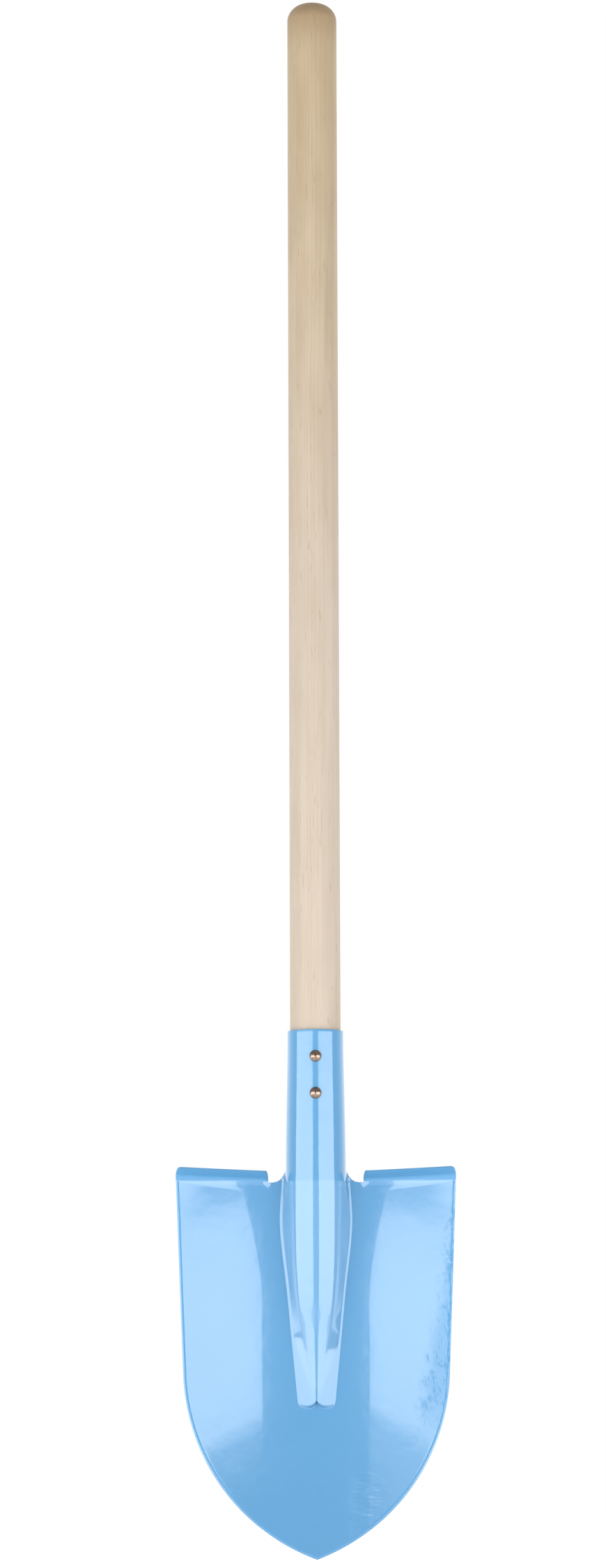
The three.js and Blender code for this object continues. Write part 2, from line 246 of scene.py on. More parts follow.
# %% Marks in the enamel
# each pair says where a mark begins and ends to change, across the blade or up from its point
RUN_BORDER = (49.0, 57.0)  # across, at RUN_LEVEL
RUN_FOOT = (52.0, 84.0)  # up
RUN_LEVEL = 78.0
RUN_LEAN = 0.18  # outwards for each millimetre up
RUN_WANDER = 8.0  # unevenness of the border
SAG_INNER = (14.0, 21.0)  # across
SAG_OUTER = (27.0, 40.0)  # across
SAG_TOP = (34.0, 52.0)  # up
TREAD_INNER = (21.0, 24.0)  # across
TREAD_FOOT = (188.2, 189.6)  # up
paint, paint_shader, start = material("blue enamel")
place = object_place(start)
across, _, height = axes(place)
runs = noise(stretched(place, 0.30, 0.30, 0.12), 1.0, 2.0)
lean = across - (height - RUN_LEVEL) * RUN_LEAN
run_side = smooth(lean + (runs - 0.5) * RUN_WANDER, *RUN_BORDER) * smooth(height, *RUN_FOOT)
sags = noise(stretched(place, 0.10, 0.10, 0.34), 1.0, 2.0)
sag_side = smooth(across, *SAG_INNER) * (1.0 - smooth(across, *SAG_OUTER))
sag_side = sag_side * (1.0 - smooth(height, *SAG_TOP))
tread_side = smooth(across.math("ABSOLUTE", across), *TREAD_INNER) * smooth(height, *TREAD_FOOT)
print("nodes for the marks:", len(paint.node_tree.nodes))

# %% Blue enamel
DEEP_BLUE = (0.076, 0.246, 0.446, 1.0)
LIGHT_BLUE = (0.084, 0.260, 0.466, 1.0)
DULL = 0.45
RIPPLE = 0.00022
cloud = noise(place, 0.02, 3.0)
mottle = noise(place, 0.35, 2.0)
tone = ramp(cloud * 0.7 + mottle * 0.3, 0.3, 0.7)
peel = noise(place, 0.22, 1.5)
draw = noise(place, 0.05, 1.0)
ripples = peel * 0.22 + draw * 0.7 + runs * run_side * 3.0 + sags * sag_side * 1.6
feed(
    paint_shader,
    Base_Color=blend(tone, DEEP_BLUE, LIGHT_BLUE),
    Roughness=mix(tread_side, mix(mottle, 0.10, 0.16), DULL),
    Coat_Weight=(1.0 - run_side * 0.8) * (1.0 - tread_side),
    Coat_Roughness=0.03,
    Normal=bumped(ripples, RIPPLE),
)
print("paint nodes:", len(paint.node_tree.nodes))

# %% [markdown]
# ## Pale hardwood
#
# The shaft is turned from a pale, straight-grained hardwood. The year rings are nearly flat sheets along
# the stick, so the side shows long fine lines and the rounded end shows arcs. A stretched noise alone
# would give the lines but not the arcs. One rule gives both: the distance from a pith that runs beside
# the stick, a little crooked, decides early or late wood. Fine pores are short dark strokes along the
# grain. The colour is painted paler towards the blade and darker and yellower towards the free end. This
# is painted light and shade for the light that falls off away from the lamps.

# %% Wood grain
PITH = (31.0, -22.0)  # across and through
PITH_LEAN = 0.008
RINGS_PER_MM = 0.62
wood, wood_shader, start = material("pale hardwood")
place = object_place(start)
across, through, height = axes(place)
wander = noise(stretched(place, 0.02, 0.02, 0.006), 1.0, 2.0) * 9.0
beside = across - PITH[0] + wander
behind = through - PITH[1] + wander * 0.6 + height * PITH_LEAN
ring = root(beside * beside + behind * behind) * RINGS_PER_MM
late = ring.math("FRACT", ring)
line = smooth(late, 0.45, 0.95) * (1.0 - smooth(late, 0.95, 1.0))
fibre = noise(stretched(place, 1.7, 1.7, 0.028), 1.0, 3.0, 0.6)
streak = noise(stretched(place, 0.35, 0.35, 0.004), 1.0, 2.0)
pore = smooth(noise(stretched(place, 2.4, 2.4, 0.10), 1.0, 1.0), 0.66, 0.80)
blotch = noise(stretched(place, 0.09, 0.09, 0.022), 1.0, 2.0)
fleck = smooth(noise(stretched(place, 0.42, 0.42, 0.085), 1.0, 1.0), 0.69, 0.80)
grain = ramp(fibre * 0.30 + streak * 0.50 + blotch * 0.55 + line * 0.12, 0.42, 1.05)
print("grain nodes:", len(wood.node_tree.nodes))

# %% Pale wood
# painted light and shade: between these heights the wood's colour turns from paler, as if well lit near the
# blade, to darker and yellower, as if shaded towards the free end
PAINTED_SHADE_HEIGHTS = (430.0, 800.0)
END_GRAIN = (772.0, 797.0)
painted_shade = smooth(height, *PAINTED_SHADE_HEIGHTS)
pale = blend(painted_shade, (0.462, 0.392, 0.325, 1.0), (0.458, 0.366, 0.240, 1.0))
dark = blend(painted_shade, (0.376, 0.306, 0.230, 1.0), (0.350, 0.252, 0.145, 1.0))
body = blend(most(pore * 0.16, fleck * 0.24), blend(grain, pale, dark), (0.21, 0.15, 0.085, 1.0))
feed(
    wood_shader,
    Base_Color=blend(smooth(height, *END_GRAIN) * 0.55, body, (0.25, 0.155, 0.07, 1.0)),
    Roughness=mix(fibre, 0.48, 0.68),
    Normal=bumped(fibre * 0.6 - pore, 0.00010),
)
print("wood nodes:", len(wood.node_tree.nodes))

# %% [markdown]
# ## Copper
#
# The rivets are bare copper, headed cold and lightly tumbled. They are brighter in patches and browner
# where the oxide stays, with shallow dents. A flat metal colour would look like plastic at this size,
# so a noise moves the colour and the roughness together.

# %% Copper
copper, copper_shader, start = material("copper")
place = object_place(start)
oxide = noise(place, 0.9, 3.0)
dent = noise(place, 0.5, 1.0)
feed(
    copper_shader,
    Base_Color=blend(ramp(oxide, 0.35, 0.7), (0.325, 0.25, 0.20, 1.0), (0.195, 0.135, 0.10, 1.0)),
    Metallic=1.0,
    Roughness=mix(oxide, 0.10, 0.22),
    Normal=bumped(dent, 0.00010),
)
print("copper nodes:", len(copper.node_tree.nodes))

# %% [markdown]
# ## Growing a piece from a rule
#
# Every piece here follows a rule: a sheet bent by a die, a stick turned on a lathe, a rivet headed by a
# punch. They could be drawn point by point, but then a changed size would mean drawing them again.
# Geometry Nodes runs such a rule over a grid of points. Each tree gets one named input for each of its
# sizes, in millimetres, and the grown mesh is kept as a plain mesh.

# %% Tree helpers
METRES = (0.001, 0.001, 0.001)
WELD = 0.002


def rule_tree(name, sizes):
    """A Geometry Nodes tree with a named input for each size, and the sizes as values in it."""
    tree = bpy.data.node_groups.new(name, "GeometryNodeTree")
    tree.interface.new_socket("Geometry", in_out="OUTPUT", socket_type="NodeSocketGeometry")
    for label in sizes:
        tree.interface.new_socket(label, in_out="INPUT", socket_type="NodeSocketFloat")
    source = Value(tree).node("NodeGroupInput")
    return tree, {label: source.other(label) for label in sizes}


def patch_of(start, columns, rows):
    """A flat grid with its two coordinates, each running from 0 to 1."""
    counts = {"Size X": 1.0, "Size Y": 1.0, "Vertices X": columns + 1, "Vertices Y": rows + 1}
    grid = start.node("GeometryNodeMeshGrid", None, counts)
    split = start.node("ShaderNodeSeparateXYZ", None, {"Vector": start.node("GeometryNodeInputPosition")})
    return grid, split + 0.5, split.other("Y") + 0.5


def moved(grid, x, y, z):
    """The grid with every point taken to its place under the rule."""
    return grid.node("GeometryNodeSetPosition", None, {"Geometry": grid, "Position": vector(x, y, z)})


def joined(*parts):
    return parts[0].node("GeometryNodeJoinGeometry", None, {"Geometry": list(parts)})


def close_up(mesh, finish):
    """The last steps of a tree: weld, scale to metres, realize, smooth, give the material and hand out."""
    welded = mesh.node("GeometryNodeMergeByDistance", None, {"Geometry": mesh, "Distance": WELD})
    small = mesh.node("GeometryNodeTransform", None, {"Geometry": welded, "Scale": METRES})
    real = mesh.node("GeometryNodeRealizeInstances", None, {"Geometry": small})
    soft = mesh.node("GeometryNodeSetShadeSmooth", None, {"Geometry": real})
    finished = mesh.node("GeometryNodeSetMaterial", None, {"Geometry": soft, "Material": finish})
    mesh.node("NodeGroupOutput", None, {"Geometry": finished})


print("points closer than this are welded, mm:", WELD)


# %% Growing helpers
def kept(piece):
    """The piece with its modifiers worked into a plain mesh."""
    evaluated = piece.evaluated_get(bpy.context.evaluated_depsgraph_get())
    mesh = bpy.data.meshes.new_from_object(evaluated)
    piece.modifiers.clear()
    piece.data = mesh
    return piece


def grown(name, tree, sizes):
    """A plain mesh object grown by a tree from its sizes."""
    piece = bpy.data.objects.new(name, bpy.data.meshes.new(name))
    bpy.context.scene.collection.objects.link(piece)
    rule = piece.modifiers.new("rule", "NODES")
    rule.node_group = tree
    for socket in tree.interface.items_tree:
        if socket.in_out == "INPUT":
            rule[socket.identifier] = float(sizes[socket.name])
    return kept(piece)


# %% [markdown]
# ## The blade's sizes
#
# The sheet is one blank. The middle of its lower half is raised into the frog, its upper half is rolled
# into the socket, and the two top edges are turned forward into treads. Separate plates would be easier
# to model, but the real blade has no joints and its reflections run through, so it stays one sheet.
# These are the sizes of the dies that form it.

# %% Blade sizes
blade_sizes = {
    "Rim Radius": 14.4,
    "Neck Swell": 1.0,
    "Socket Length": 76.0,
    "Seam Gap": 1.6,
    "Seam Foot": 227.9,
    "Blade Length": 188.0,
    "Blade Half Width": 70.33,
    "Side Taper": 3.9,
    "Shoulder Height": 91.5,
    "Dish Depth": 10.0,
    "Dish Depth At Treads": 8.4,
    "Dish Ease": 60.0,
    "Flat Run": 60.0,
    "Flat Share": 0.24,
    "Blade Lift": math.tan(math.radians(2.5)),
    "Point Curl": 13.0,
    "Curl Height": 120.0,
    "Tread Bend Radius": 2.5,
    "Tread Angle": math.radians(58.0),
    "Tread Flat": 4.4,
    "Tread Rise": 1.8,
    "Tread Rise Ease": 40.0,
    "Tread Corner": 3.0,
    "Notch Width": 2.2,
    "Fillet Height": 8.0,
    "Fillet Foot": 4.3,
    "Frog Length": 113.5,
    "Frog Arch": math.radians(84.0),
    "Frog Root Fillet": 2.0,
    "Frog Flank": 1.2,
    "Frog Belly": 0.9,
    "Belly Drop": 22.0,
    "Waist Half Width": 14.75,
    "Waist Drop": 57.0,
    "Tail Half Width": 9.2,
    "Tail Height": 2.8,
    "Tail Crest": 4.0,
    "Crest Hold": 1.9,
    "Toe Run Out": 1.9,
    "Toe Cleft": 2.6,
    "Tip Lift": 0.24,
    "Edge Roll Width": 2.1,
    "Edge Roll Depth": 0.52,
    "Fold Lead": 6.0,
    "Fold Lead Depth": 0.4,
}
print("blade sizes:", len(blade_sizes))

# %% [markdown]
# ## Bands of the sheet
#
# Across half the sheet the columns of points fall into five bands: the crest arc of the frog, its flank
# with the root fillet, the flat foot beside it, the notch, and the wing. Columns that follow the bands
# keep every bend on a line of points, which an even grid would cut across.

# %% Bands and levels
ARCH, FLANK, FOOT, NOTCH, WING = 26, 16, 6, 3, 34
BANDS = ARCH + FLANK + FOOT + NOTCH + WING
NECK_BANDS = ARCH + FLANK + FOOT

blade_tree, size = rule_tree("blade rule", blade_sizes)
start = Value(blade_tree)
fold = size["Blade Length"]
neck_radius = size["Rim Radius"] + size["Neck Swell"]
arch = size["Frog Arch"]
fillet = size["Frog Root Fillet"]
fold_reach = neck_radius + fillet
fold_half = fold_reach * sin(arch) + size["Frog Flank"] * cos(arch)
fold_height = fold_reach * (1.0 - cos(arch)) + size["Frog Flank"] * sin(arch)
plane = neck_radius - fold_height
foot_edge = fold_half + size["Fillet Foot"]
tread_start = foot_edge + size["Notch Width"]
arch_edge = neck_radius * sin(arch)
fillet_top = fold + size["Fillet Height"]
rim_height = fold + size["Socket Length"]
toe_height = fold - size["Frog Length"]
print("columns across half the sheet:", BANDS)

# %% [markdown]
# ## Outline
#
# The sides are straight and taper a little downwards. Below the shoulders two arcs meet in the point.
# A drawn curve could follow the photograph, but the arcs are cut tangent to the sides, so their radius
# and centre follow from the taper and the height of the shoulders.

# %% Outline
side_x = size["Blade Half Width"] - size["Side Taper"]
side_run = fold - size["Shoulder Height"]
side_long = root(side_run * side_run + size["Side Taper"] * size["Side Taper"])
inward_x = -side_run / side_long
inward_z = size["Side Taper"] / side_long
shoulder_square = side_x * side_x + size["Shoulder Height"] * size["Shoulder Height"]
point_radius = shoulder_square / ((side_x * inward_x + size["Shoulder Height"] * inward_z) * -2.0)
centre_x = side_x + inward_x * point_radius
centre_z = size["Shoulder Height"] + inward_z * point_radius


def half_width(z):
    """Half the blade's width at a height: straight tapered sides, then the arcs of the point."""
    straight = side_x + size["Side Taper"] * (z - size["Shoulder Height"]) / side_run
    drop = z - centre_z
    arc = centre_x + root(point_radius * point_radius - drop * drop)
    return mix(z.math("GREATER_THAN", z, size["Shoulder Height"]), arc, straight)


print("nodes so far:", len(blade_tree.nodes))

# %% [markdown]
# ## Dish and curl
#
# From the side the blade leans forward and its point curls up. Across, the wings curve forward in a
# shallow dish, which is flatter just below the treads. Bending a flat mesh with modifiers would need one
# for each of these, while a height above the sheet can simply be added up.

# %% Dish and curl
def blade_line(z):
    """How far the middle of the blade stands forward of the axis at a height."""
    curl = most(1.0 - z / size["Curl Height"], 0.0)
    return plane + (fold - z) * size["Blade Lift"] + size["Point Curl"] * curl * curl


def dish(x, z):
    """How far the sides curve forward of the middle."""
    depth = mix(smooth(fold - z, 0.0, size["Dish Ease"]), size["Dish Depth At Treads"], size["Dish Depth"])
    share = x / size["Blade Half Width"]
    square = share * share
    near = most(1.0 - (fold - z) / size["Flat Run"], 0.0)
    return depth * square * (1.0 - near ** 3.0 * size["Flat Share"] * (1.0 - square))


print("dish, mm:", blade_sizes["Dish Depth At Treads"], "at the treads,", blade_sizes["Dish Depth"], "below")

# %% [markdown]
# ## The frog's section
#
# The frog is the raised middle that stiffens the blade. Its half section is a crest arc, a straight
# flank and a root fillet, all tangent. With the fillet fixed, the angle of the flank follows from the
# width, the height and the crest's radius, so the section closes anywhere along the frog. Its outline
# runs smoothly through the widths at the fold, the belly, the waist and the tail.

# %% Frog section
def through_knots(x, knots):
    """A smooth line through pairs of place and value, with each knot's slope from its neighbours."""
    last = len(knots) - 1
    slopes = []
    for i in range(len(knots)):
        before, after = knots[max(i - 1, 0)], knots[min(i + 1, last)]
        slopes.append((after[1] - before[1]) / (after[0] - before[0]))
    line = knots[0][1]
    for i in range(last):
        (left, low), (right, high) = knots[i], knots[i + 1]
        t = ramp(x, left, right)
        rest = 1.0 - t
        rise = (high - low) * t * t * (3.0 - t * 2.0)
        lean = (right - left) * t * rest * (slopes[i] * rest - slopes[i + 1] * t)
        line = line + rise + lean
    return line


def section(z):
    """The frog's half section at a height: its crest, flank, angle, half width and height."""
    drop = most(least(fold - z, size["Frog Length"]), 0.0)
    share = drop / size["Frog Length"]
    half = through_knots(
        drop,
        [
            (0.0, fold_half),
            (size["Belly Drop"], fold_half + size["Frog Belly"]),
            (size["Waist Drop"], size["Waist Half Width"]),
            (size["Frog Length"], size["Tail Half Width"]),
        ],
    )
    high = mix(share, fold_height, size["Tail Height"])
    eased = (cos(share ** size["Crest Hold"] * math.pi) + 1.0) * 0.5
    wanted = mix(eased, size["Tail Crest"], neck_radius) + fillet
    square = half * half + high * high
    reach = least(wanted, square / (high * 2.0) - 0.01)
    flank = root(square - high * reach * 2.0)
    angle = angle_of(high - reach, half) + angle_of(reach, flank)
    return reach - fillet, flank, angle, half, high


def section_point(crest, flank, angle, high, arc, slope, turn):
    """Half section from its run along the crest arc, the flank and the fillet: across and up."""
    bend = arc / crest
    left = angle - turn / fillet
    x = crest * sin(bend) + slope * cos(angle) + fillet * (sin(angle) - sin(left))
    up = high - crest * (1.0 - cos(bend)) - slope * sin(angle) - fillet * (cos(left) - cos(angle))
    return x, up


print("frog, mm:", blade_sizes["Frog Length"], "long")
print("frog's tail, mm:", 2 * blade_sizes["Tail Half Width"], "wide")

# %% [markdown]
# ## Toes, rolled edge and fold
#
# The frog ends in two rounded toes with a cleft between them. The sheared outline is rolled back a
# little, and the sheet leads softly into the fold of the treads. Each is a small height added to the
# sheet, so that it stays one surface and the light runs over it without a break.

# %% Toes, rolled edge and fold
EDGE_ROWS = 1.5  # power that packs the points towards the outline
OUTER_LEAD = 0.3  # share of the lead at the outer corner
LEAD_EASE = 1.5


def toe_share(x, z):
    """0 on the blade, 1 on the frog, with two rounded toes and a cleft between them."""
    middle = size["Tail Half Width"] * 0.5
    away = (x - middle) / middle
    line = toe_height + size["Toe Cleft"] * least((away * away) ** 1.5, 1.0)
    return smooth(z, line, line + size["Toe Run Out"])


def sheet_column(column, z):
    """Across and up on the lower sheet, from the column's number and the row's height."""
    crest, flank, angle, half, high = section(z)
    run = (flank + fillet * angle) * ramp(column, float(ARCH), float(ARCH + FLANK))
    arc = crest * angle * ramp(column, 0.0, float(ARCH))
    x, up = section_point(crest, flank, angle, high, arc, least(run, flank), most(run - flank, 0.0))
    foot_start = float(ARCH + FLANK)
    x = x + size["Fillet Foot"] * ramp(column, foot_start, foot_start + FOOT)
    x = x + size["Notch Width"] * ramp(column, foot_start + FOOT, foot_start + FOOT + NOTCH)
    wing = half_width(z) - half - size["Fillet Foot"] - size["Notch Width"]
    rest = 1.0 - ramp(column, foot_start + FOOT + NOTCH, float(BANDS))
    x = x + wing * (1.0 - rest ** EDGE_ROWS)
    return x, up


def edge_roll(x, z):
    """How far the sheared edge is rolled back, close to the outline."""
    off_x, off_z = x - centre_x, z - centre_z
    from_arc = point_radius - root(off_x * off_x + off_z * off_z)
    from_side = (half_width(z) - x) * side_run / side_long
    inside = mix(z.math("GREATER_THAN", z, size["Shoulder Height"]), from_arc, from_side)
    share = most(1.0 - inside / size["Edge Roll Width"], 0.0)
    return size["Edge Roll Depth"] * share * share


def fold_lead(x, z):
    """The slight forward turn of the sheet just below the tread's fold."""
    outer = size["Fold Lead"] * OUTER_LEAD
    lead = mix(ramp(x, tread_start, size["Blade Half Width"]), size["Fold Lead"], outer)
    share = most(1.0 - (fold - z) / lead, 0.0) * ramp(x, foot_edge, tread_start + LEAD_EASE)
    return size["Fold Lead Depth"] * share * share


def fold_rise(x):
    """How far the fold climbs towards the outer corner."""
    return size["Tread Rise"] * most(x - tread_start, 0.0) / (size["Blade Half Width"] - tread_start)


print("rolled edge, mm:", blade_sizes["Edge Roll Depth"], "deep,", blade_sizes["Edge Roll Width"], "wide")

# %% [markdown]
# ## Panel
#
# The panel is the main part of the blade, from the toes of the frog up to the fold. Its rows are level,
# and they lie closer together at the toes and at the fold, where the sheet bends most. Even rows would
# need several times as many points for the same toes.

# %% Panel
PANEL_ROWS = 128
TOE_BAND = 6.0
FOLD_BAND = 5.0
grid, u, v = patch_of(start, BANDS, PANEL_ROWS)
column = u * float(BANDS)
middle = fold - toe_height - (TOE_BAND + FOLD_BAND)
z = toe_height + ramp(v, 0.0, 0.28) * TOE_BAND + middle * ramp(v, 0.28, 0.88)
z = z + ramp(v, 0.88, 1.0) * FOLD_BAND
x, up = sheet_column(column, z)
forward = blade_line(z) + dish(x, z) + up * toe_share(x, z) + fold_lead(x, z) - edge_roll(x, z)
lifted = z + fold_rise(x) * smooth(z, fold - size["Tread Rise Ease"], fold)
panel = moved(grid, x, -forward, lifted)
print("panel:", BANDS, "by", PANEL_ROWS, "faces on each side")

# %% [markdown]
# ## Point
#
# Below the toes the blade is plain and narrows to its point. Level rows would shrink to slivers there,
# so the point is a patch stretched between the panel's lower edge, the centre line and the outline. Its
# fourth corner lies on the outline's arc.

# %% Point
POINT_ROWS = 52
CORNER_SHARE = 0.62
grid, u, v = patch_of(start, BANDS, POINT_ROWS)
v = v ** EDGE_ROWS
top_x, _ = sheet_column(u * float(BANDS), toe_height)
edge_x = half_width(toe_height)
share = top_x / edge_x
tip_angle = angle_of(-centre_z, -centre_x)
side_angle = angle_of(toe_height - centre_z, edge_x - centre_x)
corner_angle = mix(CORNER_SHARE, tip_angle, side_angle)
bottom_angle = mix(share, tip_angle, corner_angle)
right_angle = mix(v, corner_angle, side_angle)


def on_arc(turn):
    """The place on the outline's arc at an angle: across and up."""
    return centre_x + point_radius * cos(turn), centre_z + point_radius * sin(turn)


bottom_x, bottom_z = on_arc(bottom_angle)
right_x, right_z = on_arc(right_angle)
corner_x, corner_z = on_arc(corner_angle)
x = bottom_x * (1.0 - v) + top_x * v + right_x * share
x = x - (corner_x * share * (1.0 - v) + edge_x * share * v)
z = bottom_z * (1.0 - v) + toe_height * v + v * toe_height * (1.0 - share) + right_z * share
z = z - (corner_z * share * (1.0 - v) + toe_height * v)
forward = blade_line(z) + dish(x, z) - edge_roll(x, z)
point = moved(grid, x, -forward, z + size["Tip Lift"] * (1.0 - v) * (1.0 - share))
print("point:", BANDS, "by", POINT_ROWS, "faces on each side")

# %% [markdown]
# ## Tread
#
# The top edge of each wing is turned forward as a rest for the foot. A press brake makes it: a bend of
# one radius, then a short flat with its corners cut round. The grid follows the bend from the fold, so
# it joins the panel point for point.

# %% Tread
TREAD_ROWS = 22
grid, u, v = patch_of(start, WING, TREAD_ROWS)
bend = size["Tread Bend Radius"] * size["Tread Angle"]
length = v * (bend + size["Tread Flat"])
turn = least(length, bend) / size["Tread Bend Radius"]
straight = most(length - bend, 0.0)
up = size["Tread Bend Radius"] * sin(turn) + straight * cos(size["Tread Angle"])
out = size["Tread Bend Radius"] * (1.0 - cos(turn)) + straight * sin(size["Tread Angle"])
crown = size["Tread Bend Radius"] * sin(size["Tread Angle"]) + size["Tread Flat"] * cos(size["Tread Angle"])
past = most(up - crown + size["Tread Corner"], 0.0)
pulled = size["Tread Corner"] - root(size["Tread Corner"] * size["Tread Corner"] - past * past)
x = mix(1.0 - (1.0 - u) ** EDGE_ROWS, tread_start + pulled * 0.4, size["Blade Half Width"] - pulled)
y = blade_line(fold) + dish(x, fold) + out + fold_lead(x, fold) - edge_roll(x, fold)
tread = moved(grid, x, -y, fold + fold_rise(x) + up)
print("tread:", WING, "by", TREAD_ROWS, "faces on each side")

# %% [markdown]
# ## Neck and socket
#
# Above the fold the sheet narrows through the notch's fillet and is rolled round a mandrel until its
# edges nearly meet at the back. A tube set on the blade would show a joint. Here every row keeps its own
# length of sheet and is only rolled further, from the frog's section at the fold to the round rim.

# %% Rows of the neck
NECK_ROWS = 84
grid, u, v = patch_of(start, NECK_BANDS, NECK_ROWS)
column = u * float(NECK_BANDS)
z = fold + size["Fillet Height"] * ramp(v, 0.0, 0.22)
z = z + (size["Seam Foot"] - fillet_top) * ramp(v, 0.22, 0.65)
z = z + (rim_height - size["Seam Foot"]) * ramp(v, 0.65, 1.0)
crest, flank, angle, half, high = section(fold)
arc_end = crest * angle
root_end = arc_end + flank + fillet * angle
sag = most((fillet_top - z) / size["Fillet Height"], 0.0)
edge = foot_edge - (foot_edge - arch_edge) * root(1.0 - sag * sag)
on_fillet = root_end - fillet * edge.math("ARCSINE", least((half - edge) / fillet, 1.0))
on_flank = arc_end + (edge - crest * sin(angle)) / cos(angle)
edge_run = mix(edge.math("GREATER_THAN", edge, half - fillet * sin(angle)), on_flank, on_fillet)
edge_run = mix(edge.math("GREATER_THAN", edge, half), edge_run, root_end + edge - half)
seam_angle = math.pi - (size["Seam Gap"] * 0.5 / size["Rim Radius"])
rolled_run = neck_radius * mix(smooth(z, fillet_top, size["Seam Foot"]), angle, seam_angle)
end_run = mix(z.math("LESS_THAN", z, fillet_top), rolled_run, edge_run)
fold_run = arc_end * ramp(column, 0.0, float(ARCH))
fold_run = fold_run + (root_end - arc_end) * ramp(column, float(ARCH), float(ARCH + FLANK))
fold_run = fold_run + size["Fillet Foot"] * ramp(column, float(ARCH + FLANK), float(NECK_BANDS))
even = smooth(z, fold, size["Seam Foot"])
run = end_run * mix(even, fold_run / (root_end + size["Fillet Foot"]), u)
print("neck:", NECK_BANDS, "by", NECK_ROWS, "faces on each side")

# %% Neck and socket
past_arc = run - arc_end
slope = most(least(past_arc, flank), 0.0)
turned = most(least(past_arc - flank, fillet * angle), 0.0)
x_low, up = section_point(crest, flank, angle, high, least(run, arc_end), slope, turned)
x_low = x_low + most(run - root_end, 0.0)
tube = size["Rim Radius"] + size["Neck Swell"] * (1.0 - smooth(z, fillet_top, rim_height))
round_angle = run / neck_radius
x_high = tube * sin(round_angle)
in_fillet = z.math("LESS_THAN", z, fillet_top)
on_section = in_fillet * run.math("GREATER_THAN", run, arc_end)
x = mix(on_section, x_high, x_low)
y = mix(on_section, tube * cos(round_angle), plane + up)
y = y + dish(x, fold) * (1.0 - smooth(z, fold, fillet_top))
neck = moved(grid, x, -y, z)
print("nodes in the blade's rule:", len(blade_tree.nodes))

# %% [markdown]
# ## The whole sheet
#
# The four parts make the right half. Its mirror image has its faces turned, so that both halves face
# forward, and the halves are welded along the middle. Modelling one half keeps the blade true.

# %% Blade
right = joined(panel, point, tread, neck)
left = start.node("GeometryNodeTransform", None, {"Geometry": right, "Scale": (-1.0, 1.0, 1.0)})
left = start.node("GeometryNodeFlipFaces", None, {"Mesh": left})
close_up(joined(right, left), paint)
blade = grown("blade", blade_tree, blade_sizes)
print("blade sheet:", len(blade.data.vertices), "points,", len(blade.data.polygons), "faces")

# %% [markdown]
# ## Sheet thickness and painted edges
#
# The steel is 1.3 mm thick. Its sheared edges are dulled and the enamel rounds them further, so every
# free edge catches a thin line of light. A second surface by hand would have to be kept parallel, so
# Solidify gives the sheet its back and Bevel rounds the edges.

# %% Thickness
SHEET = 0.0013
EDGE_ROUND = 0.00042
shell = blade.modifiers.new("sheet", "SOLIDIFY")
shell.thickness = SHEET
shell.offset = -1.0
shell.use_even_offset = True
rounding = blade.modifiers.new("dulled edge", "BEVEL")
rounding.limit_method = "ANGLE"
rounding.angle_limit = math.radians(55.0)
rounding.width = EDGE_ROUND
rounding.segments = 3
kept(blade)
blade.data.shade_smooth()
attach(blade, "root")
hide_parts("blade")
print("blade:", len(blade.data.polygons), "faces, mm:", [round(1000 * c, 1) for c in blade.dimensions])

# %% [markdown]
# ## The shaft
#
# The shaft is a turned stick. The free end is rounded on the lathe with a small flat in the middle, and
# the foot tapers inside the socket and ends in a chamfer. A cylinder with its ends bevelled would come
# close, but on a lathe the radius is a rule of the height, and so it is here. The rows fall into bands:
# foot face, chamfer, body, rounded end and end flat.

# %% Shaft
shaft_sizes = {
    "Foot Height": 192.0,
    "Total Length": 799.98,
    "Shaft Radius": 12.75,
    "End Round": 9.2,
    "End Flat Radius": 3.0,
    "Taper Length": 34.0,
    "Foot Narrowing": 2.0,
    "Foot Chamfer": 2.0,
}
SHAFT_SIDES = 96
SHAFT_ROWS = 150
FOOT_FACE = (0.0, 0.04)
CHAMFER = (0.04, 0.06)
BODY = (0.06, 0.70)
ROUNDED_END = (0.70, 0.96)
END_FLAT = (0.96, 1.0)
shaft_tree, size = rule_tree("turned shaft", shaft_sizes)
grid, u, v = patch_of(Value(shaft_tree), SHAFT_SIDES, SHAFT_ROWS)
foot = size["Foot Height"]
top = size["Total Length"]
chamfer_top = foot + size["Foot Chamfer"]
round_foot = top - size["End Round"]
foot_radius = size["Shaft Radius"] - size["Foot Narrowing"]
z = foot + size["Foot Chamfer"] * ramp(v, *CHAMFER) + (round_foot - chamfer_top) * ramp(v, *BODY)
quarter = ramp(v, *ROUNDED_END) * (math.pi / 2)
z = z + size["End Round"] * sin(quarter)
taper = foot_radius + size["Foot Narrowing"] * ramp(z, foot, foot + size["Taper Length"])
body = taper - size["Foot Chamfer"] * (1.0 - ramp(z, foot, chamfer_top))
rounded = (body - size["End Flat Radius"]) * cos(quarter) + size["End Flat Radius"]
radius = rounded * ramp(v, *FOOT_FACE) * (1.0 - ramp(v, *END_FLAT))
turn = u * (2 * math.pi)
close_up(moved(grid, radius * cos(turn), radius * sin(turn), z), wood)
shaft = grown("shaft", shaft_tree, shaft_sizes)
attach(shaft, "root")
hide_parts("shaft")
print("shaft:", len(shaft.data.polygons), "faces")

# %% [markdown]
# ## The rivets
#
# Two copper rivets go through the socket and the shaft. Each has a domed head at the front and a flatter
# peened tail at the back. Half balls would sink into the round socket or stand off it, so each dome is a
# rule: an elliptic crown whose edge follows the tube. One function makes heads and tails alike.

# %% Rivets
rivet_sizes = {
    "Upper Height": 250.5,
    "Pitch": 18.6,
    "Upper Seat": 14.5,
    "Lower Seat": 14.85,
    "Head Radius": 3.0,
    "Head Height": 1.9,
    "Tail Radius": 2.8,
    "Tail Height": 1.1,
}
DOME_SIDES = 48
DOME_ROWS = 30
CROWN = (0.0, 0.62)
WALL = (0.62, 0.74)
UNDERSIDE = (0.85, 1.0)
SUNK = 0.25
rivet_tree, size = rule_tree("rivets", rivet_sizes)
start = Value(rivet_tree)


